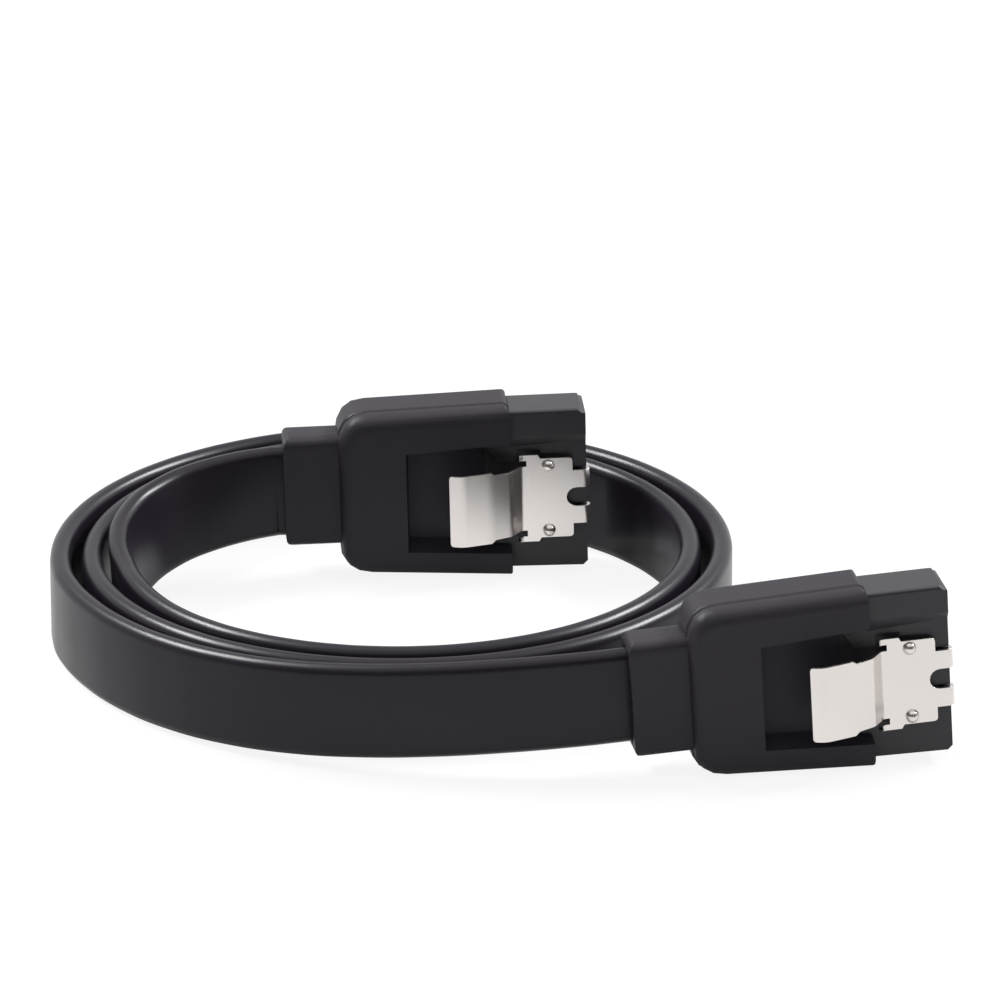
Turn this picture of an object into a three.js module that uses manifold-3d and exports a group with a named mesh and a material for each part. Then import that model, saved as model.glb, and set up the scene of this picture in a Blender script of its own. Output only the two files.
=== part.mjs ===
// SATA data cable: a flat black cable, coiled on its edge, with a straight seven-contact plug on each end.
// Each plug has a moulded boot, a housing with an L-shaped slot, seven contacts and a sprung steel latch.
// Millimetres, +Z up. The origin is on the floor, in the middle of the box round the two plugs.
import * as THREE from "three";
import { mergeVertices } from "three/addons/utils/BufferGeometryUtils.js";
import Module from "manifold-3d";

const wasm = await Module();
wasm.setup();

const degree = Math.PI / 180;

// Clearances
const seatGap = 0.2; // between pieces that touch on the real cable
const slideGap = 0.15; // round the contacts, the wires and the latch's hinge bar
const cutOver = 0.5; // how far a cutter runs past the face that it opens

// Flat cable
const cableWidth = 8.1;
const cableThickness = 1.75;
const cableEdgeRadius = 0.72;
const cableSteps = 80;
const floorGap = 0.02; // under the lower edge of the coil
const straightLength = 0.9; // behind each plug, before the cable starts to bend

// Boot: the soft moulding over the plug's rear and the cable's end
const bootLength = 14.94;
const bootRearWidth = 14.1;
const bootFrontWidth = 15.9;
const bootNearDepth = 3.2; // from the cable's middle plane to the latch side
const bootFarDepth = 2.4;
const bootRearRadius = 2.6;
const bootUpperFrontRadius = 0.7;
const bootLowerFrontRadius = 0.4;
const bootEdgeRadius = 0.4;
const bootPartingDepth = 1.56; // where the mould parts: a round-edged cap lies on the latch side of it
const capInset = 0.12;
const capEdgeRadius = 1.25;
const neckLength = 4.64;
const neckWidth = 9.95;
const neckThickness = 4.2;
const neckCornerRadius = 0.9;
const neckEdgeRadius = 1.1;
const recessLength = 9.05; // the well round the latch's thumb tab, which widens with the boot
const recessTop = 3.95; // at the well's rear
const recessBottom = 5.05;
const recessFloorDepth = 1.1; // from the middle plane
const recessDraft = 0.7; // how far its walls lean in on the way to the floor

// Housing: the hard moulding that holds the contacts
const housingLength = 6.62; // the part that stands out of the boot
const housingWidth = 14.5;
const housingNearDepth = 2.57;
const housingFarDepth = 2.03;
const housingEdgeRadius = 0.35;
const housingMouthChamfer = 0.7;
const railWidth = 2.3; // the land along the top, over the slot's key leg
const railSlope = 1.5; // how far the rail's wall runs down for each millimetre that it sinks
const panelRearDepth = 1.75; // the sunk panel's height over the middle plane, at the boot
const panelFrontDepth = 2.17;
const spigotLength = 4;
const spigotWidth = 11.2;
const spigotNearDepth = 0.3;
const spigotFarDepth = 1.75;
const apronLength = 2; // the housing's lip that shows in the boot's well
const apronTop = 4.3;
const apronBottom = 5.55;

// Slot for the mating blade
const slotLength = 10.6;
const slotThickness = 1.4;
const slotMiddle = 0.1;
const slotDepth = 5.6;
const keyLegLength = 1;
const keyLegWidth = 1.3;

// Contacts
const contactCount = 7;
const contactPitch = 1.27;
const contactWidth = 0.5;
const contactThickness = 0.2;
const contactPlane = 1.1;
const contactRise = 0.5; // how far the spring arm bows into the slot
const contactTail = 2; // behind the spigot

// Wires, comb and jacket end inside the boot
const signalWireRadius = 0.38;
const drainWireRadius = 0.2;
const wirePlane = 0.5;
const wireFan = 0.82; // spacing of the wires in the jacket over the contact pitch
const combLength = 2.8;
const combWidth = 9.9;
const combBase = 0.45;
const combTooth = 0.95;
const cavityWidth = 10.5;
const cavityNearDepth = 0.6;
const jacketEnd = 13.2; // where the jacket is stripped, behind the boot's mating end

// Latch: one stamped strip of spring steel
const latchThickness = 0.28;
const latchOffset = 0.76; // below the housing's middle
const latchTabRear = 5.46;
const latchTabHalfWidth = 3.22;
const latchTabCornerRadius = 0.3;
const latchTabRise = 2.88; // of the thumb tab's crown over the plate
const latchBends = [
  // along the plug, over the plate, and the length that the bend takes to each side
  [-5.96, 2.27, 0],
  [-4.45, latchTabRise, 0.5],
  [-1.93, 2.22, 0.4],
  [-0.15, 1.36, 0.25],
  [0.86, 0, 0.25],
];
const latchBendSteps = 3;
const latchShoulder = [-1.85, -1.5]; // where the tab narrows to the ramp
const latchRampHalfWidth = 2.95;
const latchReliefHalfWidth = 3.48; // the notches between the ramp and the ears
const latchReliefEnd = 1.4;
const latchPlateDepth = 2.5; // the plate's middle surface over the middle plane
const latchEarRear = 0.78;
const latchEarFront = 2.4;
const latchEarSlant = 0.2;
const latchEarHalfWidth = 3.98;
const latchPlateHalfWidth = 3.63;
const latchPlateFront = 5.4;
const latchPlateCornerRadius = 0.35;
const latchProngHalfWidth = 2.44;
const latchProngOverhang = 0.3; // of the hooked prongs over the mating face
const latchNotchHalfWidth = 0.86;
const latchNotchEnd = 4.84;
const latchBumpRadius = 0.6;
const latchBumpHeight = 0.38;
const latchBumpPlace = [3.27, 2.97];
const latchTravel = 8; // degrees, down to the pocket's floor
const hingeBarRadius = 0.2;
const hingeBarSeat = 0.05; // how far the bar's ends go into the walls
const pocketSideGap = 0.25; // beside the latch's plate and ears
const pocketThroat = -1.07; // where the pocket opens out to the rear
const pocketThroatHalfWidth = 3.15;
const pocketMouthSlope = 1.5;

// Where the plugs lie. Each place is the cable's middle at the boot's mating end, seen from above.
const frontPlugPlace = [29.72, -31.3];
const frontPlugYaw = 9.25 * degree;
const backPlugPlace = [0.8, 13.19];
const backPlugYaw = 3.81 * degree;
const backPlugPitch = 1.28 * degree;

// The cable's route: hand-placed leads from each plug, and the coil between them
const frontLead = [
  [6.5, -35.0, 6.5],
  [0.5, -35.3, 6.07],
  [-5.5, -35.0, 5.61],
  [-11.4, -34.0, 5.16],
  [-17.1, -32.1, 4.74],
  [-22.4, -29.2, 4.4],
  [-27.1, -25.5, 4.2],
  [-31.1, -21.0, 4.1],
  [-34.2, -15.9, 4.07],
  [-36.4, -10.3, 4.07],
];
const backLead = [
  [-31.6, -7.2, 4.42],
  [-32.1, -2.3, 4.9],
  [-31.3, 2.7, 5.52],
  [-29.0, 7.1, 6.15],
  [-25.2, 10.2, 6.8],
];
const coilMiddle = [-8.5, -2.05];
const coilRadius = 29.4; // where the coil passes its far left
const coilPitch = 2.71; // drawn in by each turn
const coilOval = [-0.61, 0.21];
const coilStart = -169.2 * degree;
const coilEnd = -875.3 * degree;
const coilPoints = 80;
const backLeadRise = 24 * degree; // the end of the coil over which the cable starts to climb
const backLeadLift = 0.22;
const backLeadLean = 11 * degree; // outwards, at the middle of the stretch that leans
const leanStretch = [6.5, 33]; // from the jacket's end in the back plug

// Finish
const jacketFinish = { color: 0x2a282b, roughness: 0.38, metalness: 0 };
const bootFinish = { color: 0x2b292c, roughness: 0.62, metalness: 0 };
const housingFinish = { color: 0x3c3a3e, roughness: 0.5, metalness: 0 };
const combFinish = { color: 0x34323a, roughness: 0.6, metalness: 0 };
const steelFinish = { color: 0xd9d5d0, roughness: 0.32, metalness: 0.9 };
const contactFinish = { color: 0xd8b060, roughness: 0.3, metalness: 1 };
const signalWireFinish = { color: 0xe8e6e0, roughness: 0.5, metalness: 0 };
const drainWireFinish = { color: 0xc8c4bc, roughness: 0.35, metalness: 1 };

// Sizes that follow from those above
const neckRear = -bootLength - neckLength;
const housingRear = seatGap;
const housingFront = housingLength;
const spigotRear = housingRear - spigotLength;
const slotNear = slotMiddle - slotThickness / 2;
const slotFar = slotMiddle + slotThickness / 2;
const slotBottom = housingFront - slotDepth;
const contactCell = contactWidth / 2 + slideGap;
const contactBed = contactPlane + contactThickness / 2 + slideGap;
const tailEnd = spigotRear - contactTail;
const combFront = tailEnd - seatGap * 2;
const combRear = combFront - combLength;
const bodyFlare = Math.atan((bootFrontWidth - bootRearWidth) / 2 / bootLength);
const frontPlugPitch = bodyFlare; // the plug lies on its flared lower side
const panelSlope = (panelFrontDepth - panelRearDepth) / housingLength;
const latchOuter = latchPlateDepth + latchThickness / 2;
const latchInner = latchPlateDepth - latchThickness / 2;
const curlRadius = hingeBarRadius + slideGap + latchThickness / 2;
const hingePlace = housingLength + latchProngOverhang - curlRadius - latchThickness / 2;
const hingeDepth = latchPlateDepth - curlRadius;
const pocketSlope = Math.tan(latchTravel * degree);

// A closed three.js geometry as a solid that can be joined and cut
function solid(geometry) {
  const bare = geometry.index ? geometry.toNonIndexed() : geometry.clone();
  bare.deleteAttribute("normal");
  bare.deleteAttribute("uv");
  const merged = mergeVertices(bare, 1e-4);
  return new wasm.Manifold(
    new wasm.Mesh({
      numProp: 3,
      vertProperties: merged.attributes.position.array,
      triVerts: new Uint32Array(merged.index.array),
    }),
  );
}

// A joined or cut solid as a three.js geometry
function geometryOf(body) {
  const mesh = body.getMesh();
  const indexed = new THREE.BufferGeometry();
  indexed.setAttribute("position", new THREE.BufferAttribute(mesh.vertProperties, 3));
  indexed.setIndex(new THREE.BufferAttribute(mesh.triVerts, 1));
  const geometry = indexed.toNonIndexed();
  geometry.computeVertexNormals();
  return geometry;
}

// A named mesh with its own finish
function piece(name, geometry, finish) {
  const mesh = new THREE.Mesh(geometry, new THREE.MeshStandardMaterial(finish));
  mesh.name = name;
  return mesh;
}

// A straight-sided block between two corners
function block(low, high) {
  const size = high.map((value, i) => value - low[i]);
  const geometry = new THREE.BoxGeometry(...size);
  geometry.translate(...low.map((value, i) => value + size[i] / 2));
  return solid(geometry);
}

// An outline with a round of its own radius at each corner, given as [x, y, radius]
function roundedOutline(corners) {
  const shape = new THREE.Shape();
  corners.forEach(([x, y, radius], i) => {
    const corner = new THREE.Vector2(x, y);
    const before = corners.at(i - 1);
    const after = corners[(i + 1) % corners.length];
    const enter = new THREE.Vector2(before[0], before[1]).sub(corner).setLength(radius).add(corner);
    const leave = new THREE.Vector2(after[0], after[1]).sub(corner).setLength(radius).add(corner);
    if (i === 0) shape.moveTo(enter.x, enter.y);
    else shape.lineTo(enter.x, enter.y);
    if (radius > 0) shape.quadraticCurveTo(x, y, leave.x, leave.y);
  });
  shape.closePath();
  return shape;
}

// Extrudes an outline drawn along the plug (x) and up (z), from one depth to another
function extrudeSide(outline, near, far, edgeRadius = 0) {
  const rounded = edgeRadius > 0;
  const geometry = new THREE.ExtrudeGeometry(outline, {
    depth: far - near - 2 * edgeRadius,
    bevelEnabled: rounded,
    bevelSize: edgeRadius,
    bevelThickness: edgeRadius,
    bevelOffset: -edgeRadius,
    bevelSegments: 4,
    curveSegments: 4,
  });
  geometry.rotateX(Math.PI / 2);
  geometry.translate(0, far - edgeRadius, 0);
  return solid(geometry);
}

// A cutter that sinks an outline from the latch side to a floor, with walls that lean in on the way
function sunkCut(outline, near, floor, draft) {
  const geometry = new THREE.ExtrudeGeometry(outline, {
    depth: cutOver,
    bevelEnabled: true,
    bevelSize: draft,
    bevelThickness: floor - near,
    bevelOffset: -draft,
    bevelSegments: 1,
  });
  geometry.rotateX(Math.PI / 2);
  geometry.translate(0, near, 0);
  return solid(geometry);
}

// Extrudes a cross-section drawn through the plug (y) and up (z), from one place to another along x
function extrudeAlong(section, from, to) {
  const geometry = new THREE.ExtrudeGeometry(section, {
    depth: to - from,
    bevelEnabled: false,
    curveSegments: 4,
  });
  const yAxis = new THREE.Vector3(0, 1, 0);
  const zAxis = new THREE.Vector3(0, 0, 1);
  const xAxis = new THREE.Vector3(1, 0, 0);
  geometry.applyMatrix4(new THREE.Matrix4().makeBasis(yAxis, zAxis, xAxis));
  geometry.translate(from, 0, 0);
  return solid(geometry);
}

// An outline's upper half, given as [x, z, radius], with its mirror image below
function mirroredOutline(half) {
  const lower = half.map(([x, z, radius]) => [x, -z, radius]);
  return roundedOutline([...half, ...lower.reverse()]);
}

// An open line with a bend at each inner corner, given as [x, y, length to each side]
function bentLine(corners, steps) {
  const path = new THREE.Path();
  corners.forEach(([x, y, length], i) => {
    const corner = new THREE.Vector2(x, y);
    if (i === 0) {
      path.moveTo(x, y);
      return;
    }
    if (i === corners.length - 1) {
      path.lineTo(x, y);
      return;
    }
    const before = new THREE.Vector2(...corners[i - 1]);
    const after = new THREE.Vector2(...corners[i + 1]);
    const enter = before.sub(corner).setLength(length).add(corner);
    const leave = after.sub(corner).setLength(length).add(corner);
    path.lineTo(enter.x, enter.y);
    path.quadraticCurveTo(x, y, leave.x, leave.y);
  });
  return path.getPoints(steps).map((point) => [point.x, point.y]);
}

// A strip of sheet as seen from its edge: a line of points thickened to both sides
function stripOutline(line, thickness) {
  const points = line.map(([x, y]) => new THREE.Vector2(x, y));
  const side = (sign) =>
    points.map((point, i) => {
      const before = points[Math.max(i - 1, 0)];
      const after = points[Math.min(i + 1, points.length - 1)];
      const enter = point.clone().sub(before);
      const leave = after.clone().sub(point);
      if (i === 0) enter.copy(leave);
      if (i === points.length - 1) leave.copy(enter);
      enter.normalize();
      leave.normalize();
      const along = enter.clone().add(leave).normalize();
      const reach = (sign * thickness) / 2 / along.dot(enter);
      return new THREE.Vector2(point.x - along.y * reach, point.y + along.x * reach);
    });
  return new THREE.Shape([...side(1), ...side(-1).reverse()]);
}

// A round wire along a smooth line through points
function wire(points, radius) {
  const section = new THREE.Shape();
  section.absarc(0, 0, radius, 0, 2 * Math.PI);
  return new THREE.ExtrudeGeometry(section, {
    steps: 10,
    curveSegments: 5,
    bevelEnabled: false,
    extrudePath: new THREE.CatmullRomCurve3(points),
  });
}

// How far the cable leans at a distance from its end in the back plug
function leanAt(distance) {
  const [start, end] = leanStretch;
  const share = THREE.MathUtils.clamp((distance - start) / (end - start), 0, 1);
  return backLeadLean * Math.sin(Math.PI * share);
}

// A line that a flat cable follows: the wide side of its section stays upright, and leans a little
// along the back lead
class UprightLine extends THREE.CatmullRomCurve3 {
  computeFrenetFrames(segments) {
    const frames = { tangents: [], normals: [], binormals: [] };
    const length = this.getLength();
    for (let i = 0; i <= segments; i += 1) {
      const tangent = this.getTangentAt(i / segments);
      const up = new THREE.Vector3(0, 0, 1).addScaledVector(tangent, -tangent.z).normalize();
      up.applyAxisAngle(tangent, -leanAt(length * (1 - i / segments)));
      frames.tangents.push(tangent);
      frames.normals.push(up.clone().cross(tangent));
      frames.binormals.push(up);
    }
    return frames;
  }
}

// Heights of the contacts, from the lowest up
const contactHeights = Array.from(
  { length: contactCount },
  (_, i) => (i - (contactCount - 1) / 2) * contactPitch,
);

// One layer of the boot: a flared block, round at its rear corners and cut square at its mating end
function bootLayer(inset, near, far, edgeRadius) {
  const overrun = 2 * edgeRadius;
  const rearHalf = bootRearWidth / 2 - inset;
  const frontHalf = bootFrontWidth / 2 - inset;
  const overHalf = frontHalf + overrun * Math.tan(bodyFlare);
  const layer = extrudeSide(
    roundedOutline([
      [inset - bootLength, -rearHalf, bootRearRadius],
      [overrun, -overHalf, 0],
      [overrun, overHalf, 0],
      [inset - bootLength, rearHalf, bootRearRadius],
    ]),
    near,
    far,
    edgeRadius,
  );
  const trim = extrudeSide(
    roundedOutline([
      [-bootLength - cutOver, -rearHalf - cutOver, 0],
      [0, -frontHalf, bootLowerFrontRadius],
      [0, frontHalf, bootUpperFrontRadius],
      [-bootLength - cutOver, rearHalf + cutOver, 0],
    ]),
    near - cutOver,
    far + cutOver,
  );
  return layer.intersect(trim);
}

// The boot: a flared block with a cap on its latch side and a strain-relief neck, with a well for the
// latch and a cavity for the wires
function bootBody() {
  const farBlock = bootLayer(0, -bootPartingDepth, bootFarDepth, bootEdgeRadius);
  const cap = bootLayer(capInset, -bootNearDepth, bootEdgeRadius, capEdgeRadius);
  const neckHalf = neckWidth / 2;
  const neckFront = capEdgeRadius - bootLength;
  const neckSection = roundedOutline([
    [-neckThickness / 2, -neckHalf, neckEdgeRadius],
    [neckThickness / 2, -neckHalf, neckEdgeRadius],
    [neckThickness / 2, neckHalf, neckEdgeRadius],
    [-neckThickness / 2, neckHalf, neckEdgeRadius],
  ]);
  const neckSide = roundedOutline([
    [neckRear, -neckHalf, neckCornerRadius],
    [neckFront, -neckHalf, 0],
    [neckFront, neckHalf, 0],
    [neckRear, neckHalf, neckCornerRadius],
  ]);
  const neck = extrudeAlong(neckSection, neckRear, neckFront).intersect(
    extrudeSide(neckSide, -neckThickness, neckThickness),
  );
  const wellFront = recessDraft + cutOver;
  const wellSpread = (recessLength + wellFront) * Math.tan(bodyFlare);
  const well = sunkCut(
    roundedOutline([
      [-recessLength, -recessBottom, 0],
      [wellFront, -recessBottom - wellSpread, 0],
      [wellFront, recessTop + wellSpread, 0],
      [-recessLength, recessTop, 0],
    ]),
    -bootNearDepth,
    -recessFloorDepth,
    recessDraft,
  );
  const apronWindow = block(
    [-apronLength - seatGap, -panelRearDepth - seatGap, -apronBottom - seatGap],
    [cutOver, 0, apronTop + seatGap],
  );
  const spigotSeat = block(
    [spigotRear - seatGap, -cavityNearDepth, -spigotWidth / 2 - seatGap],
    [cutOver, spigotFarDepth + seatGap, spigotWidth / 2 + seatGap],
  );
  const cavity = block(
    [-jacketEnd + seatGap, -cavityNearDepth, -cavityWidth / 2],
    [spigotRear, spigotFarDepth + seatGap, cavityWidth / 2],
  );
  const cableBore = block(
    [neckRear - cutOver, -cableThickness / 2 - seatGap, -cableWidth / 2 - seatGap],
    [-jacketEnd + 2 * seatGap, cableThickness / 2 + seatGap, cableWidth / 2 + seatGap],
  );
  return [well, apronWindow, spigotSeat, cavity, cableBore].reduce(
    (body, cutter) => body.subtract(cutter),
    farBlock.add(cap).add(neck),
  );
}

// The housing: a hard block with a raised rail, a sunk panel and pocket for the latch, an L-shaped slot
// in its mating face and a channel for each contact
function housingBody() {
  const half = housingWidth / 2;
  const section = roundedOutline([
    [-housingNearDepth, -half, housingEdgeRadius],
    [housingFarDepth, -half, housingEdgeRadius],
    [housingFarDepth, half, housingEdgeRadius],
    [-housingNearDepth, half, housingEdgeRadius],
  ]);
  const sideOutline = new THREE.Shape([
    new THREE.Vector2(housingRear, -half - cutOver),
    new THREE.Vector2(housingFront - housingMouthChamfer, -half - cutOver),
    new THREE.Vector2(housingFront - housingMouthChamfer, -half),
    new THREE.Vector2(housingFront, -half + housingMouthChamfer),
    new THREE.Vector2(housingFront, half - housingMouthChamfer),
    new THREE.Vector2(housingFront - housingMouthChamfer, half),
    new THREE.Vector2(housingFront - housingMouthChamfer, half + cutOver),
    new THREE.Vector2(housingRear, half + cutOver),
  ]);
  const shell = extrudeAlong(section, housingRear, housingFront).intersect(
    extrudeSide(sideOutline, -housingNearDepth - cutOver, housingFarDepth + cutOver),
  );
  const spigot = block(
    [spigotRear, -spigotNearDepth, -spigotWidth / 2],
    [housingRear + cutOver, spigotFarDepth, spigotWidth / 2],
  );
  const apron = block(
    [-apronLength, -panelRearDepth, -apronBottom],
    [housingRear + cutOver, 0, apronTop],
  );
  const over = -housingNearDepth - cutOver;
  const cutRear = -apronLength - cutOver;
  const cutFront = housingFront + cutOver;
  const panelProfile = new THREE.Shape([
    new THREE.Vector2(cutRear, over),
    new THREE.Vector2(cutFront, over),
    new THREE.Vector2(cutFront, -panelRearDepth - cutFront * panelSlope),
    new THREE.Vector2(cutRear, -panelRearDepth - cutRear * panelSlope),
  ]);
  const railEdge = half - railWidth;
  const panelSection = new THREE.Shape([
    new THREE.Vector2(over, -half - cutOver),
    new THREE.Vector2(0, -half - cutOver),
    new THREE.Vector2(0, railEdge - housingNearDepth * railSlope),
    new THREE.Vector2(over, railEdge + cutOver * railSlope),
  ]);
  const panelCut = prismUp(panelProfile, -housingWidth, housingWidth).intersect(
    extrudeAlong(panelSection, cutRear, cutFront),
  );
  const pocketDepth = (x) => latchInner - slideGap - (hingePlace - x) * pocketSlope;
  const pocketFront = latchPlateFront - curlRadius;
  const pocketProfile = new THREE.Shape([
    new THREE.Vector2(cutRear, over),
    new THREE.Vector2(pocketFront, over),
    new THREE.Vector2(pocketFront, -pocketDepth(pocketFront)),
    new THREE.Vector2(cutRear, -pocketDepth(cutRear)),
  ]);
  const mouthHalf = pocketThroatHalfWidth + (pocketThroat - cutRear) * pocketMouthSlope;
  const earClear = latchEarHalfWidth + pocketSideGap;
  const plateClear = latchPlateHalfWidth + pocketSideGap;
  const pocketOutline = mirroredOutline([
    [cutRear, mouthHalf, 0],
    [pocketThroat, pocketThroatHalfWidth, 0],
    [latchEarRear - slideGap, pocketThroatHalfWidth, 0],
    [latchEarRear - slideGap, earClear, 0],
    [latchEarFront + pocketSideGap, earClear, 0],
    [latchEarFront + pocketSideGap, plateClear, 0],
    [pocketFront, plateClear, 0],
  ]);
  const pocketCut = extrudeSide(pocketOutline, over, 0)
    .translate([0, 0, -latchOffset])
    .intersect(prismUp(pocketProfile, -housingWidth, housingWidth));
  const curlOuter = curlRadius + latchThickness / 2 + slideGap;
  const prongInner = latchNotchHalfWidth - slideGap;
  const prongOuter = latchProngHalfWidth + slideGap;
  const prongWell = (low, high) =>
    block(
      [hingePlace - curlOuter, over, low - latchOffset],
      [cutFront, -hingeDepth + curlOuter, high - latchOffset],
    );
  const barLength = prongOuter - prongInner + 2 * hingeBarSeat;
  const hingeBars = [-1, 1].map((side) => {
    const bar = new THREE.CylinderGeometry(hingeBarRadius, hingeBarRadius, barLength, 12);
    bar.rotateX(Math.PI / 2);
    bar.translate(hingePlace, -hingeDepth, (side * (prongOuter + prongInner)) / 2 - latchOffset);
    return solid(bar);
  });
  const slotHalf = slotLength / 2;
  const slotCut = block(
    [slotBottom, slotNear, -slotHalf],
    [housingFront + cutOver, slotFar, slotHalf],
  );
  const keyCut = block(
    [slotBottom, slotNear - keyLegLength, slotHalf - keyLegWidth],
    [housingFront + cutOver, slotFar, slotHalf],
  );
  const channels = contactHeights.flatMap((height) => [
    block(
      [slotBottom - cutOver, slotFar - cutOver, height - contactCell],
      [housingFront - cutOver, contactBed, height + contactCell],
    ),
    block(
      [spigotRear - cutOver, contactPlane - contactThickness / 2 - slideGap, height - contactCell],
      [slotBottom, contactBed, height + contactCell],
    ),
  ]);
  const moulding = shell.add(spigot).add(apron);
  const cutters = [
    panelCut,
    pocketCut,
    prongWell(-prongOuter, -prongInner),
    prongWell(prongInner, prongOuter),
    slotCut,
    keyCut,
    ...channels,
  ];
  const opened = cutters.reduce((body, cutter) => body.subtract(cutter), moulding);
  return hingeBars.reduce((body, bar) => body.add(bar), opened);
}

// Extrudes a profile drawn along the plug (x) and through it (y), from one height to another
function prismUp(profile, low, high) {
  const geometry = new THREE.ExtrudeGeometry(profile, {
    depth: high - low,
    bevelEnabled: false,
    curveSegments: 4,
  });
  geometry.translate(0, 0, low);
  return solid(geometry);
}

// The latch: a bent strip trimmed to its stamped outline, with two locking bumps
function latchBody() {
  const plate = -latchPlateDepth;
  const curlSteps = 8;
  const curl = Array.from({ length: curlSteps }, (_, i) => {
    const turn = -Math.PI / 2 + ((i + 1) / curlSteps) * 215 * degree;
    return [
      hingePlace + curlRadius * Math.cos(turn),
      -hingeDepth + curlRadius * Math.sin(turn),
    ];
  });
  const bends = latchBends.map(([x, rise, length]) => [x, plate - rise, length]);
  const line = bentLine([...bends, [hingePlace, plate, 0]], latchBendSteps);
  const strip = stripOutline([...line, ...curl], latchThickness);
  const reach = latchEarHalfWidth + cutOver;
  const bent = prismUp(strip, -reach, reach);
  const front = hingePlace + 2 * curlRadius;
  const outline = mirroredOutline([
    [-latchTabRear, latchTabHalfWidth, latchTabCornerRadius],
    [latchShoulder[0], latchTabHalfWidth, 0],
    [latchShoulder[1], latchRampHalfWidth, 0],
    [latchReliefEnd, latchRampHalfWidth, 0],
    [latchReliefEnd, latchReliefHalfWidth, 0],
    [latchEarRear, latchReliefHalfWidth, 0],
    [latchEarRear, latchEarHalfWidth, 0],
    [latchEarFront, latchEarHalfWidth, 0],
    [latchEarFront + latchEarSlant, latchPlateHalfWidth, 0],
    [latchPlateFront, latchPlateHalfWidth, latchPlateCornerRadius],
    [latchPlateFront, latchProngHalfWidth, 0],
    [front, latchProngHalfWidth, 0],
  ]);
  const notch = new THREE.Shape();
  const notchCentre = latchNotchEnd + latchNotchHalfWidth;
  notch.moveTo(front + cutOver, -latchNotchHalfWidth);
  notch.lineTo(front + cutOver, latchNotchHalfWidth);
  notch.lineTo(notchCentre, latchNotchHalfWidth);
  notch.absarc(notchCentre, 0, latchNotchHalfWidth, Math.PI / 2, (3 * Math.PI) / 2, false);
  const deep = [-latchOuter - latchTabRise - cutOver, curlRadius];
  const stamped = bent
    .intersect(extrudeSide(outline, ...deep))
    .subtract(extrudeSide(notch, ...deep));
  const bumps = [-1, 1].map((side) => {
    const dome = new THREE.SphereGeometry(latchBumpRadius, 12, 8);
    dome.scale(1, latchBumpHeight / latchBumpRadius, 1);
    dome.translate(latchBumpPlace[0], -latchOuter + latchThickness / 4, side * latchBumpPlace[1]);
    const skin = block(
      [latchBumpPlace[0] - 1, -latchOuter - 1, side * latchBumpPlace[1] - 1],
      [latchBumpPlace[0] + 1, -latchPlateDepth, side * latchBumpPlace[1] + 1],
    );
    return solid(dome).intersect(skin);
  });
  return bumps.reduce((body, bump) => body.add(bump), stamped);
}

// A contact: a strip that bows out of its channel into the slot, with a tail behind the spigot
function contactGeometry() {
  const tip = housingFront - cutOver - slideGap;
  const arm = tip - slotBottom;
  const line = [
    [tailEnd, contactPlane],
    [slotBottom + 0.1 * arm, contactPlane],
    [slotBottom + 0.5 * arm, contactPlane - 0.55 * contactRise],
    [slotBottom + 0.72 * arm, contactPlane - contactRise],
    [slotBottom + 0.8 * arm, contactPlane - contactRise],
    [tip, contactPlane - 0.1 * contactRise],
  ];
  const geometry = new THREE.ExtrudeGeometry(stripOutline(line, contactThickness), {
    depth: contactWidth,
    bevelEnabled: false,
  });
  geometry.translate(0, 0, -contactWidth / 2);
  return geometry;
}

// The comb that keeps the wires in line with the contact tails
function combGeometry() {
  const base = wirePlane - signalWireRadius - slideGap;
  const outline = [[base - combBase, -combWidth / 2]];
  const groove = signalWireRadius + slideGap / 2;
  outline.push([base + combTooth, -combWidth / 2]);
  for (const height of contactHeights) {
    outline.push([base + combTooth, height - groove]);
    outline.push([base, height - groove]);
    outline.push([base, height + groove]);
    outline.push([base + combTooth, height + groove]);
  }
  outline.push([base + combTooth, combWidth / 2]);
  outline.push([base - combBase, combWidth / 2]);
  const section = new THREE.Shape(outline.map(([y, z]) => new THREE.Vector2(y, z)));
  return geometryOf(extrudeAlong(section, combRear, combFront));
}

// One wire from the stripped jacket, through the comb, to its contact's tail
function wireGeometry(height, radius) {
  const tailPlane = contactPlane - contactThickness / 2 - slideGap - radius;
  const jacketHeight = height * wireFan;
  const start = -jacketEnd + seatGap;
  const points = [
    [start, 0, jacketHeight],
    [start + 1, 0.05 * wirePlane, jacketHeight],
    [combRear - 0.4, wirePlane, height],
    [combRear + 0.5, wirePlane, height],
    [combFront - 0.5, wirePlane, height],
    [combFront, wirePlane, height],
    [tailEnd + 0.4, tailPlane, height],
    [spigotRear - seatGap, tailPlane, height],
  ];
  return wire(points.map((point) => new THREE.Vector3(...point)), radius);
}

// The group of one plug's pieces, in the plug's own frame: x to the mating end, z across its width, and
// the latch on the -y side
function plug(side) {
  const group = new THREE.Group();
  group.add(piece(side + "_boot", geometryOf(bootBody()), bootFinish));
  group.add(piece(side + "_housing", geometryOf(housingBody()), housingFinish));
  group.add(piece(side + "_comb", combGeometry(), combFinish));
  contactHeights.forEach((height, i) => {
    const contact = piece(side + "_contact_" + (i + 1), contactGeometry(), contactFinish);
    contact.position.z = height;
    group.add(contact);
    const drain = i % 3 === 0; // the first, fourth and seventh contacts are grounds
    const kind = drain ? "_drain_wire_" : "_signal_wire_";
    const radius = drain ? drainWireRadius : signalWireRadius;
    const finish = drain ? drainWireFinish : signalWireFinish;
    group.add(piece(side + kind + (i + 1), wireGeometry(height, radius), finish));
  });
  const latch = piece(side + "_latch", geometryOf(latchBody()), steelFinish);
  latch.position.z = -latchOffset;
  group.add(latch);
  return group;
}

// Lays a plug on its edge on the floor, turned and tipped about the middle of its mating end
function layPlug(group, place, yaw, pitch) {
  group.rotation.set(0, -pitch, yaw, "ZYX");
  group.position.set(place[0], place[1], (bootFrontWidth / 2) * Math.cos(pitch));
  group.updateMatrixWorld(true);
  return group;
}

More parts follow.
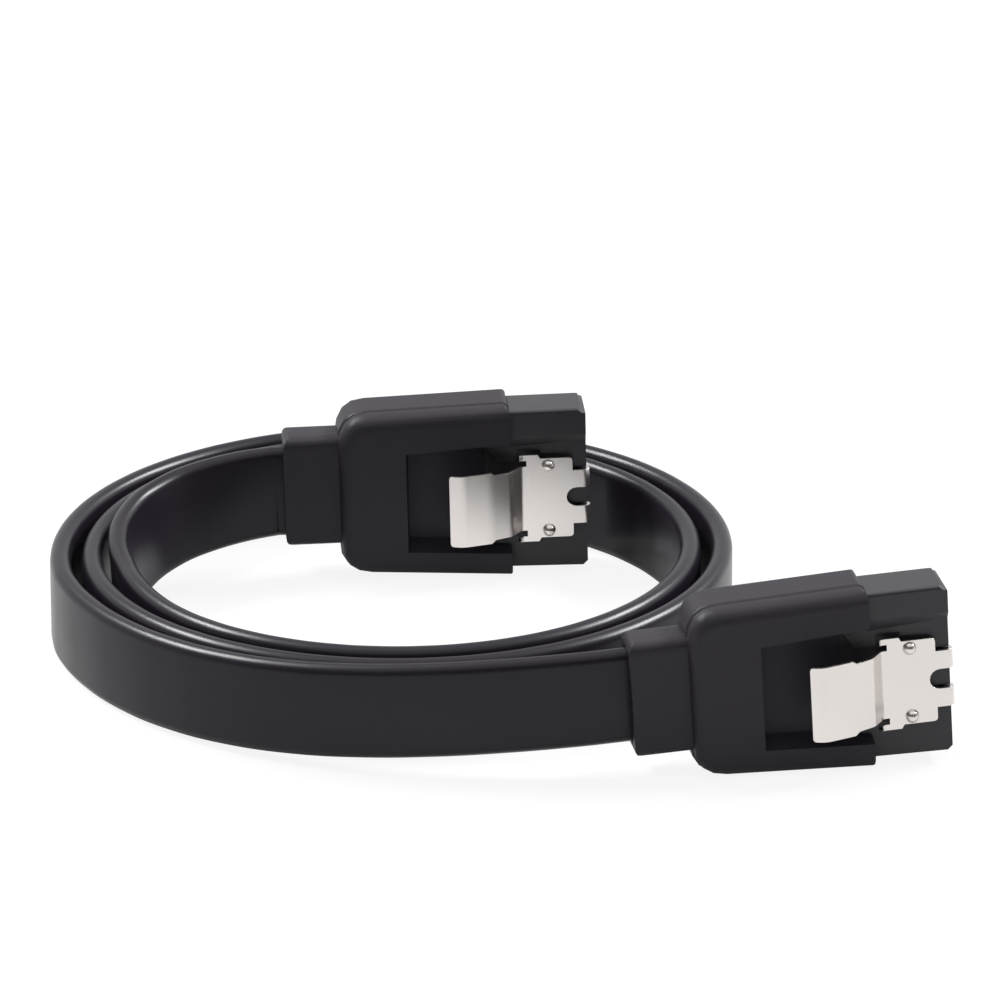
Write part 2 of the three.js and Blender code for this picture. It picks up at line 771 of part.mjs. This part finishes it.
// Points of the cable inside a plug and just behind it, from the stripped end out
function cableInPlug(group) {
  return [-jacketEnd, -bootLength, neckRear, neckRear - straightLength].map((x) =>
    group.localToWorld(new THREE.Vector3(x, 0, 0)),
  );
}

// The coil's points, from the front lead round to the back lead, clockwise from above
function coilRoute() {
  const points = [];
  for (let i = 0; i <= coilPoints; i += 1) {
    const angle = coilStart + (coilEnd - coilStart) * (i / coilPoints);
    const turns = (-angle - Math.PI) / (2 * Math.PI);
    const oval = coilOval[0] * Math.cos(2 * angle) + coilOval[1] * Math.sin(2 * angle);
    const radius = coilRadius - coilPitch * turns + oval;
    const climb = Math.max(0, 1 - (angle - coilEnd) / backLeadRise);
    points.push(
      new THREE.Vector3(
        coilMiddle[0] + radius * Math.cos(angle),
        coilMiddle[1] + radius * Math.sin(angle),
        cableWidth / 2 + floorGap + backLeadLift * climb * climb,
      ),
    );
  }
  return points;
}

// The flat jacket, swept along its route with its wide side upright
function jacketGeometry(route) {
  const halfThickness = cableThickness / 2;
  const halfWidth = cableWidth / 2;
  const section = roundedOutline([
    [-halfThickness, -halfWidth, cableEdgeRadius],
    [halfThickness, -halfWidth, cableEdgeRadius],
    [halfThickness, halfWidth, cableEdgeRadius],
    [-halfThickness, halfWidth, cableEdgeRadius],
  ]);
  const line = new UprightLine(route, false, "centripetal");
  line.arcLengthDivisions = 4000;
  return new THREE.ExtrudeGeometry(section, {
    steps: cableSteps,
    curveSegments: 2,
    bevelEnabled: false,
    extrudePath: line,
  });
}

const frontPlug = layPlug(plug("front"), frontPlugPlace, frontPlugYaw, frontPlugPitch);
const backPlug = layPlug(plug("back"), backPlugPlace, backPlugYaw, backPlugPitch);

const route = [
  ...cableInPlug(frontPlug),
  ...frontLead.map((point) => new THREE.Vector3(...point)),
  ...coilRoute(),
  ...backLead.map((point) => new THREE.Vector3(...point)),
  ...cableInPlug(backPlug).reverse(),
];

const cable = new THREE.Group();
cable.name = "sata_data_cable";
cable.add(frontPlug);
cable.add(backPlug);
const plugBox = new THREE.Box3().setFromObject(cable, true);
cable.add(piece("cable_jacket", jacketGeometry(route), jacketFinish));
cable.position.set(
  -(plugBox.min.x + plugBox.max.x) / 2,
  -(plugBox.min.y + plugBox.max.y) / 2,
  -plugBox.min.z,
);

export default cable;
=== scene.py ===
import math

import bmesh
import bpy
from mathutils import Euler, Matrix, Vector


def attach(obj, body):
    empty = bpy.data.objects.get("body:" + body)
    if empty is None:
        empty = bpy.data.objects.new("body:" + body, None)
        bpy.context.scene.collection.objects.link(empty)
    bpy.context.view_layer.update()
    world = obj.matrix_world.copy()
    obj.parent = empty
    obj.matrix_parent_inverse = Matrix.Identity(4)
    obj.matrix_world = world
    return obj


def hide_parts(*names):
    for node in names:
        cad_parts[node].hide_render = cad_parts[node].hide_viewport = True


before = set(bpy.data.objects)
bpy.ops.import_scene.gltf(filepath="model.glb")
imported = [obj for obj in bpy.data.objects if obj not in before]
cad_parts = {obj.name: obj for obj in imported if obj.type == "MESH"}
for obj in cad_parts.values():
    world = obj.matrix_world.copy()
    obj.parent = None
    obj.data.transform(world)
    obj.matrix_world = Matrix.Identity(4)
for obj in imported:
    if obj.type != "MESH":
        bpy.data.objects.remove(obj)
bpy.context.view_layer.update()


# The camera stands in front of the coil and looks down on it at twenty degrees through a long
# lens, so that the near and the far plug are drawn at almost the same size. It aims between them.
VIEW_DOWN = math.radians(20)
CAMERA_DISTANCE = 0.63943
LENS = 270
SENSOR = 36
CLIP_NEAR = 0.01
CLIP_FAR = 20
AIM = Vector((-0.00902, 0.01093, 0.01096))

lens = bpy.data.cameras.new("camera")
lens.lens = LENS
lens.sensor_width = SENSOR
lens.clip_start = CLIP_NEAR
lens.clip_end = CLIP_FAR
camera = bpy.data.objects.new("camera", lens)
camera.location = AIM + CAMERA_DISTANCE * Vector((0, -math.cos(VIEW_DOWN), math.sin(VIEW_DOWN)))
camera.rotation_euler = (math.pi / 2 - VIEW_DOWN, 0, 0)
bpy.context.scene.collection.objects.link(camera)
bpy.context.scene.camera = camera


# Where the plugs lie: the cable's middle at each boot's mating end. A plug's own frame has x to its
# mating end, z across its width and the latch on the -y side, in millimetres.
MM = 0.001
COIL_TO_ORIGIN = Vector((-9.0512, 10.8760, 0))
PLUGS = {
    "front": {
        "place": (29.72, -31.3, 7.9356),
        "yaw": math.radians(9.25),
        "pitch": math.radians(3.4476),
    },
    "back": {
        "place": (0.8, 13.19, 7.948),
        "yaw": math.radians(3.81),
        "pitch": math.radians(1.28),
    },
}
for plug in PLUGS.values():
    turn = Euler((0, -plug["pitch"], plug["yaw"]), "XYZ").to_matrix().to_4x4()
    middle = Matrix.Translation(MM * (Vector(plug["place"]) + COIL_TO_ORIGIN))
    plug["matrix"] = middle @ turn @ Matrix.Scale(MM, 4)


# The cable: one length of flat black PVC, 8.1 by 1.75 mm, which leaves the front plug to the left,
# goes round the coil clockwise and comes back to the inner plug. It stands on its edge all the way,
# and leans outwards a little where it climbs to the back plug. The points are in millimetres.
CABLE_WIDTH = 8.1
CABLE_THICKNESS = 1.75
JACKET_END = 13.2
NECK_REAR = 19.58
BOOT_LENGTH = 14.94
STRAIGHT_LENGTH = 0.9
FRONT_LEAD = [
    (6.5, -35.0, 6.5),
    (0.5, -35.3, 6.07),
    (-5.5, -35.0, 5.61),
    (-11.4, -34.0, 5.16),
    (-17.1, -32.1, 4.74),
    (-22.4, -29.2, 4.4),
    (-27.1, -25.5, 4.2),
    (-31.1, -21.0, 4.1),
    (-34.2, -15.9, 4.07),
    (-36.4, -10.3, 4.07),
]
BACK_LEAD = [
    (-31.6, -7.2, 4.42),
    (-32.1, -2.3, 4.9),
    (-31.3, 2.7, 5.52),
    (-29.0, 7.1, 6.15),
    (-25.2, 10.2, 6.8),
]
COIL_MIDDLE = (-8.5, -2.05)
COIL_RADIUS = 29.4
COIL_PITCH = 2.71
COIL_OVAL = (-0.61, 0.21)
COIL_START = math.radians(-169.2)
COIL_END = math.radians(-875.3)
COIL_POINTS = 80
FLOOR_GAP = 0.02
CLIMB = math.radians(24)
CLIMB_LIFT = 0.22
LEAN = math.radians(11)
LEAN_START = 6.5
LEAN_END = 33
EDGE_STEPS = 5
ROUTE_STEPS = 6
MOTTLE_DETAIL = 4
MOTTLE_LOW = 0.2
MOTTLE_HIGH = 0.8
GRAIN_DETAIL = 3


def cable_in_plug(side):
    stations = (JACKET_END, BOOT_LENGTH, NECK_REAR, NECK_REAR + STRAIGHT_LENGTH)
    return [PLUGS[side]["matrix"] @ Vector((-x, 0, 0)) for x in stations]


def coil_route():
    points = []
    for i in range(COIL_POINTS + 1):
        angle = COIL_START + (COIL_END - COIL_START) * i / COIL_POINTS
        turns = (-angle - math.pi) / math.tau
        oval = COIL_OVAL[0] * math.cos(2 * angle) + COIL_OVAL[1] * math.sin(2 * angle)
        radius = COIL_RADIUS - COIL_PITCH * turns + oval
        climb = max(0, 1 - (angle - COIL_END) / CLIMB)
        points.append(
            (
                COIL_MIDDLE[0] + radius * math.cos(angle),
                COIL_MIDDLE[1] + radius * math.sin(angle),
                CABLE_WIDTH / 2 + FLOOR_GAP + CLIMB_LIFT * climb**2,
            )
        )
    return points


def laid(points):
    return [MM * (Vector(point) + COIL_TO_ORIGIN) for point in points]


def lean(distance):
    share = (distance / MM - LEAN_START) / (LEAN_END - LEAN_START)
    return LEAN * math.sin(math.pi * min(max(share, 0), 1))


def plain_finish(name, color, roughness, gloss, metallic=0):
    material = bpy.data.materials.new(name)
    material.use_nodes = True
    shader = material.node_tree.nodes["Principled BSDF"]
    shader.inputs["Base Color"].default_value = (*color, 1)
    shader.inputs["Roughness"].default_value = roughness
    shader.inputs["Specular IOR Level"].default_value = gloss
    shader.inputs["Metallic"].default_value = metallic
    return material


def noise(tree, stretch, detail):
    place = tree.nodes.new("ShaderNodeTexCoord")
    size = tree.nodes.new("ShaderNodeMapping")
    size.inputs["Scale"].default_value = stretch
    spots = tree.nodes.new("ShaderNodeTexNoise")
    spots.inputs["Scale"].default_value = 1
    spots.inputs["Detail"].default_value = detail
    tree.links.new(place.outputs["Object"], size.inputs["Vector"])
    tree.links.new(size.outputs["Vector"], spots.inputs["Vector"])
    return spots.outputs["Fac"]


def mottled(material, stretch, colors, roughness):
    tree = material.node_tree
    shader = tree.nodes["Principled BSDF"]
    spots = noise(tree, stretch, MOTTLE_DETAIL)
    tint = tree.nodes.new("ShaderNodeMix")
    tint.data_type = "RGBA"
    tint.inputs["A"].default_value = (*colors[0], 1)
    tint.inputs["B"].default_value = (*colors[1], 1)
    rough = tree.nodes.new("ShaderNodeMapRange")
    rough.inputs["From Min"].default_value = MOTTLE_LOW
    rough.inputs["From Max"].default_value = MOTTLE_HIGH
    rough.inputs["To Min"].default_value = roughness[0]
    rough.inputs["To Max"].default_value = roughness[1]
    tree.links.new(spots, tint.inputs["Factor"])
    tree.links.new(spots, rough.inputs["Value"])
    tree.links.new(tint.outputs["Result"], shader.inputs["Base Color"])
    tree.links.new(rough.outputs["Result"], shader.inputs["Roughness"])


def grained(material, stretch, height, strength):
    tree = material.node_tree
    bump = tree.nodes.new("ShaderNodeBump")
    bump.inputs["Strength"].default_value = strength
    bump.inputs["Distance"].default_value = height
    tree.links.new(noise(tree, stretch, GRAIN_DETAIL), bump.inputs["Height"])
    tree.links.new(bump.outputs["Normal"], tree.nodes["Principled BSDF"].inputs["Normal"])


route = (
    cable_in_plug("front")
    + laid(FRONT_LEAD + coil_route() + BACK_LEAD)
    + cable_in_plug("back")[::-1]
)
line = bpy.data.curves.new("cable", "CURVE")
line.dimensions = "3D"
line.twist_mode = "Z_UP"
line.extrude = MM * (CABLE_WIDTH - CABLE_THICKNESS) / 2
line.bevel_depth = MM * CABLE_THICKNESS / 2
line.bevel_resolution = EDGE_STEPS
line.resolution_u = ROUTE_STEPS
line.use_fill_caps = True
spline = line.splines.new("BEZIER")
spline.bezier_points.add(len(route) - 1)
spline.tilt_interpolation = "CARDINAL"
from_end = 0
for i in reversed(range(len(route))):
    if i + 1 < len(route):
        from_end += (route[i + 1] - route[i]).length
    knot = spline.bezier_points[i]
    knot.co = route[i]
    knot.handle_left_type = "AUTO"
    knot.handle_right_type = "AUTO"
    knot.tilt = -lean(from_end)
spline.use_smooth = True
cable = bpy.data.objects.new("cable", line)
bpy.context.scene.collection.objects.link(cable)

pvc = plain_finish("cable_pvc", color=(0.0085, 0.007, 0.0107), roughness=0.31, gloss=0.23)
mottled(
    pvc,
    stretch=(90, 90, 500),
    colors=((0.0077, 0.0062, 0.0098), (0.0093, 0.0078, 0.0116)),
    roughness=(0.295, 0.325),
)
grained(pvc, stretch=(150, 150, 1500), height=0.00001, strength=0.1)
cable.data.materials.append(pvc)
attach(cable, "cable")
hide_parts("cable_jacket")


# The boots: soft black PVC with a fine grain, moulded over the cable's end and the housing's rear
# in a two-part mould, which leaves a parting line round the latch side. The neck grips the cable.
# The upper side has shrunk a little unevenly, and the back plug's neck sits a little high.
WELD = 0.000002
FLAT = math.radians(1)
HAIRLINE = 0.01
BEVEL_STEPS = 3
SHARP = math.radians(30)
SHADING_WEIGHT = 50
BOOT_EDGE = 0.00014
BORE_HALF = Vector((1.075, 4.25))
BORE_RADIUS = 0.7
BORE_STEPS = 4
ROUND_PROFILE = 0.5
KEEP_MATERIAL = -1
NECK_START = 0.9
NECK_HALF = 5
NECK_CORE = 0.95
NECK_LIFTS = {"front": 0, "back": 0.4}
WELL_CORNER = Vector((-8.35, -1.1))
WELL_REACH = 0.1
WELL_STEEPER = -0.45
CROWN_START = 4.4
CROWN_RISE = 2.6
REAR_LIFT = 0.4
MOUTH_DROP = -0.16


def rounded_copy(name, node, edge):
    shape = bmesh.new()
    shape.from_mesh(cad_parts[node].data)
    bmesh.ops.remove_doubles(shape, verts=shape.verts, dist=WELD)
    bmesh.ops.dissolve_limit(shape, angle_limit=FLAT, verts=shape.verts, edges=shape.edges)
    mesh = bpy.data.meshes.new(name)
    shape.to_mesh(mesh)
    shape.free()
    mesh.materials.clear()
    for face in mesh.polygons:
        face.use_smooth = True
    piece = bpy.data.objects.new(name, mesh)
    bpy.context.scene.collection.objects.link(piece)
    bevel = piece.modifiers.new("edges", "BEVEL")
    bevel.width = edge
    bevel.segments = BEVEL_STEPS
    bevel.limit_method = "ANGLE"
    bevel.angle_limit = SHARP
    shading = piece.modifiers.new("shading", "WEIGHTED_NORMAL")
    shading.mode = "FACE_AREA"
    shading.weight = SHADING_WEIGHT
    return piece


def grip_cable(boot, matrix):
    to_plug = matrix.inverted()
    shape = bmesh.new()
    shape.from_mesh(boot.data)
    bore = set()
    for vertex in shape.verts:
        place = to_plug @ vertex.co
        if (Vector((abs(place.y), abs(place.z))) - BORE_HALF).length < HAIRLINE:
            place.y = math.copysign(CABLE_THICKNESS / 2 + HAIRLINE, place.y)
            place.z = math.copysign(CABLE_WIDTH / 2 + HAIRLINE, place.z)
            vertex.co = matrix @ place
            bore.add(vertex)
    corners = []
    for edge in shape.edges:
        start, end = (to_plug @ vertex.co for vertex in edge.verts)
        if bore.issuperset(edge.verts) and (end - start).yz.length < HAIRLINE:
            corners.append(edge)
    bmesh.ops.bevel(
        shape,
        geom=corners,
        offset=MM * BORE_RADIUS,
        segments=BORE_STEPS,
        profile=ROUND_PROFILE,
        affect="EDGES",
        material=KEEP_MATERIAL,
    )
    for face in shape.faces:
        face.smooth = True
    shape.to_mesh(boot.data)
    shape.free()


def settle(boot, matrix, neck_lift):
    to_plug = matrix.inverted()
    for vertex in boot.data.vertices:
        place = to_plug @ vertex.co
        rear = -place.x / BOOT_LENGTH
        top = min(max((place.z - CROWN_START) / CROWN_RISE, 0), 1)
        if rear > NECK_START and abs(place.z) < NECK_HALF:
            if abs(place.y) > NECK_CORE:
                place.z += neck_lift
        elif (place.xy - WELL_CORNER).length < WELL_REACH:
            place.x += WELL_STEEPER
        else:
            place.z += top * (MOUTH_DROP + (REAR_LIFT - MOUTH_DROP) * rear)
        vertex.co = matrix @ place


boot_pvc = plain_finish("boot_pvc", color=(0.0165, 0.0145, 0.019), roughness=0.48, gloss=0.19)
mottled(
    boot_pvc,
    stretch=(260, 260, 260),
    colors=((0.015, 0.013, 0.0175), (0.018, 0.016, 0.0205)),
    roughness=(0.44, 0.52),
)
grained(boot_pvc, stretch=(2000, 2000, 2000), height=0.00003, strength=0.5)
for side, plug in PLUGS.items():
    boot = rounded_copy(side + "_boot_skin", side + "_boot", BOOT_EDGE)
    grip_cable(boot, plug["matrix"])
    settle(boot, plug["matrix"], NECK_LIFTS[side])
    boot.data.materials.append(boot_pvc)
    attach(boot, "cable")
    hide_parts(side + "_boot")


# The housings: hard black plastic, moulded smooth, with the slot for the drive's blade in the
# mating end and softened corners round it. Each is held by its spigot inside the boot.
HOUSING_EDGE = 0.00008
SHOULDER = 0.2
APRON_REAR = -2
MOUTH = 6.62
HALF_WIDTH = 7.25
MOUTH_CHAMFER = 0.7
CHAMFER_START = HALF_WIDTH - MOUTH_CHAMFER
SOFTENED = 0.3


def near(place, level):
    return abs(place - level) < HAIRLINE


def close_seam(housing, matrix):
    to_plug = matrix.inverted()
    for vertex in housing.data.vertices:
        place = to_plug @ vertex.co
        if near(place.x, SHOULDER) or near(place.x, APRON_REAR):
            place.x += HAIRLINE - SHOULDER
        elif near(place.x, MOUTH - MOUTH_CHAMFER) and abs(place.z) > CHAMFER_START:
            place.x += SOFTENED
        elif near(place.x, MOUTH) and abs(place.z) > CHAMFER_START - HAIRLINE:
            place.z += math.copysign(SOFTENED, place.z)
        vertex.co = matrix @ place


hard_plastic = plain_finish(
    "housing_plastic", color=(0.0165, 0.0152, 0.0185), roughness=0.42, gloss=0.38
)
mottled(
    hard_plastic,
    stretch=(400, 400, 400),
    colors=((0.015, 0.0138, 0.017), (0.018, 0.0166, 0.02)),
    roughness=(0.38, 0.46),
)
grained(hard_plastic, stretch=(9000, 9000, 9000), height=0.00001, strength=0.2)
for side, plug in PLUGS.items():
    housing = rounded_copy(side + "_housing_shell", side + "_housing", HOUSING_EDGE)
    close_seam(housing, plug["matrix"])
    housing.data.materials.append(hard_plastic)
    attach(housing, "cable")
    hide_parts(side + "_housing")


# The latches: spring steel, stamped and bent from one strip, hooked round a bar in the housing. The
# rolled surface has fine lines along the strip, the stamped edges are a little round, and the two
# bumps in the plate are pressed out from behind.
LATCH_EDGE = 0.00005
PLATE_OUTER = 2.65
BUMP_PLACE = 3.27
BUMP_RADIUS = 0.65
BUMP_RISE = 1.7


def raise_bumps(latch, matrix):
    to_plug = matrix.inverted()
    for vertex in latch.data.vertices:
        place = to_plug @ vertex.co
        if abs(place.x - BUMP_PLACE) < BUMP_RADIUS and place.y < -PLATE_OUTER:
            place.y = -PLATE_OUTER + BUMP_RISE * (place.y + PLATE_OUTER)
            vertex.co = matrix @ place


steel = plain_finish(
    "latch_steel", color=(0.71, 0.675, 0.65), roughness=0.28, gloss=0.5, metallic=1
)
mottled(
    steel,
    stretch=(500, 500, 3000),
    colors=((0.69, 0.655, 0.63), (0.73, 0.695, 0.67)),
    roughness=(0.275, 0.295),
)
grained(steel, stretch=(400, 400, 5000), height=0.000002, strength=0.04)
for side, plug in PLUGS.items():
    latch = rounded_copy(side + "_latch_strip", side + "_latch", LATCH_EDGE)
    raise_bumps(latch, plug["matrix"])
    latch.data.materials.append(steel)
    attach(latch, side + "_latch")
    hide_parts(side + "_latch")


# The contacts, wires and combs: seven gold-plated springs in each housing, with the cable's four
# white signal wires and three bare drain wires behind them, held in line by a moulded comb inside
# the boot. They keep their CAD shapes.
gold = plain_finish(
    "contact_gold", color=(0.8, 0.56, 0.22), roughness=0.25, gloss=0.5, metallic=1
)
mottled(
    gold,
    stretch=(2000, 2000, 2000),
    colors=((0.76, 0.52, 0.2), (0.84, 0.6, 0.25)),
    roughness=(0.2, 0.32),
)
insulation = plain_finish(
    "wire_insulation", color=(0.78, 0.77, 0.73), roughness=0.5, gloss=0.4
)
mottled(
    insulation,
    stretch=(1500, 1500, 1500),
    colors=((0.74, 0.73, 0.69), (0.8, 0.79, 0.75)),
    roughness=(0.45, 0.55),
)
tinned = plain_finish(
    "drain_tin", color=(0.66, 0.65, 0.63), roughness=0.3, gloss=0.5, metallic=1
)
mottled(
    tinned,
    stretch=(3000, 3000, 3000),
    colors=((0.62, 0.61, 0.59), (0.7, 0.69, 0.67)),
    roughness=(0.25, 0.4),
)
comb_plastic = plain_finish(
    "comb_plastic", color=(0.03, 0.028, 0.033), roughness=0.55, gloss=0.4
)
mottled(
    comb_plastic,
    stretch=(800, 800, 800),
    colors=((0.026, 0.024, 0.029), (0.034, 0.032, 0.037)),
    roughness=(0.5, 0.6),
)
FINISHES = {
    "_contact_": gold,
    "_signal_wire_": insulation,
    "_drain_wire_": tinned,
    "_comb": comb_plastic,
}
for node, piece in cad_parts.items():
    for part, finish in FINISHES.items():
        if part in node:
            piece.data.materials.clear()
            piece.data.materials.append(finish)


# The floor: a white table top that runs far behind the coil. The camera sees it as almost plain
# white with a little of the coil's shadow, and glossy surfaces see it darker close to the coil.
FLOOR_REACH = 3
FLOOR_COLOR = (0.62, 0.62, 0.62)
GLOW_SHARE = 0.88
SHADE_SAMPLES = 16
SHADE_REACH = 0.02


def combined(tree, operation, first, second):
    node = tree.nodes.new("ShaderNodeMath")
    node.operation = operation
    tree.links.new(first, node.inputs[0])
    tree.links.new(second, node.inputs[1])
    return node.outputs[0]


sheet = bmesh.new()
bmesh.ops.create_grid(sheet, x_segments=1, y_segments=1, size=FLOOR_REACH)
table = bpy.data.meshes.new("floor")
sheet.to_mesh(table)
sheet.free()
floor = bpy.data.objects.new("floor", table)
bpy.context.scene.collection.objects.link(floor)
white = bpy.data.materials.new("white_floor")
white.use_nodes = True
tree = white.node_tree
tree.nodes.remove(tree.nodes["Principled BSDF"])
matt = tree.nodes.new("ShaderNodeBsdfDiffuse")
matt.inputs["Color"].default_value = (*FLOOR_COLOR, 1)
glow = tree.nodes.new("ShaderNodeEmission")
rays = tree.nodes.new("ShaderNodeLightPath")
shade = tree.nodes.new("ShaderNodeAmbientOcclusion")
shade.samples = SHADE_SAMPLES
shade.inputs["Distance"].default_value = SHADE_REACH
mirrored = combined(tree, "MULTIPLY", rays.outputs["Is Glossy Ray"], shade.outputs["AO"])
seen = combined(tree, "MAXIMUM", rays.outputs["Is Camera Ray"], mirrored)
share = tree.nodes.new("ShaderNodeMath")
share.operation = "MULTIPLY"
share.inputs[1].default_value = GLOW_SHARE
mix = tree.nodes.new("ShaderNodeMixShader")
tree.links.new(seen, share.inputs[0])
tree.links.new(share.outputs[0], mix.inputs["Fac"])
tree.links.new(matt.outputs[0], mix.inputs[1])
tree.links.new(glow.outputs[0], mix.inputs[2])
tree.links.new(mix.outputs[0], tree.nodes["Material Output"].inputs["Surface"])
floor.data.materials.append(white)


# The light: a white studio, in which the camera sees a plain white backdrop, glossy surfaces one
# that darkens towards the front, and matt ones half of its light. A large weak panel hangs
# overhead, and a small bright one high up on each side.
STUDIO_COLOR = (1, 1, 1, 1)
MATT_LIGHT = 0.5
GRADIENT_FRONT = -0.5
GRADIENT_BACK = 0.4
FRONT_LIGHT = 0.1
BACK_LIGHT = 1
PANELS = {
    "overhead_panel": {"place": (0, -0.08, 0.6), "size": 0.9, "depth": 0.9, "power": 2.2},
    "left_panel": {"place": (-0.42, 0.2, 0.52), "size": 0.3, "depth": 0.13, "power": 6.5},
    "right_panel": {"place": (0.48, 0.24, 0.46), "size": 0.32, "depth": 0.14, "power": 7.5},
}

world = bpy.data.worlds.new("studio")
bpy.context.scene.world = world
world.use_nodes = True
tree = world.node_tree
dim = tree.nodes["Background"]
dim.inputs["Color"].default_value = STUDIO_COLOR
dim.inputs["Strength"].default_value = MATT_LIGHT
bright = tree.nodes.new("ShaderNodeBackground")
around = tree.nodes.new("ShaderNodeTexCoord")
split = tree.nodes.new("ShaderNodeSeparateXYZ")
front = tree.nodes.new("ShaderNodeMapRange")
front.inputs["From Min"].default_value = GRADIENT_FRONT
front.inputs["From Max"].default_value = GRADIENT_BACK
front.inputs["To Min"].default_value = FRONT_LIGHT
front.inputs["To Max"].default_value = BACK_LIGHT
rays = tree.nodes.new("ShaderNodeLightPath")
mix = tree.nodes.new("ShaderNodeMixShader")
tree.links.new(around.outputs["Generated"], split.inputs[0])
tree.links.new(split.outputs["Y"], front.inputs["Value"])
seen = combined(tree, "MAXIMUM", rays.outputs["Is Camera Ray"], rays.outputs["Is Glossy Ray"])
backdrop = combined(tree, "MAXIMUM", front.outputs["Result"], rays.outputs["Is Camera Ray"])
tree.links.new(backdrop, bright.inputs["Strength"])
tree.links.new(seen, mix.inputs["Fac"])
tree.links.new(dim.outputs[0], mix.inputs[1])
tree.links.new(bright.outputs[0], mix.inputs[2])
tree.links.new(mix.outputs[0], tree.nodes["World Output"].inputs["Surface"])

for name, panel in PANELS.items():
    lamp = bpy.data.lights.new(name, "AREA")
    lamp.shape = "RECTANGLE"
    lamp.size = panel["size"]
    lamp.size_y = panel["depth"]
    lamp.energy = panel["power"]
    light = bpy.data.objects.new(name, lamp)
    light.location = panel["place"]
    light.rotation_euler = (AIM - Vector(panel["place"])).to_track_quat("-Z", "Y").to_euler()
    bpy.context.scene.collection.objects.link(light)

bpy.context.scene.view_settings.view_transform = "Standard"
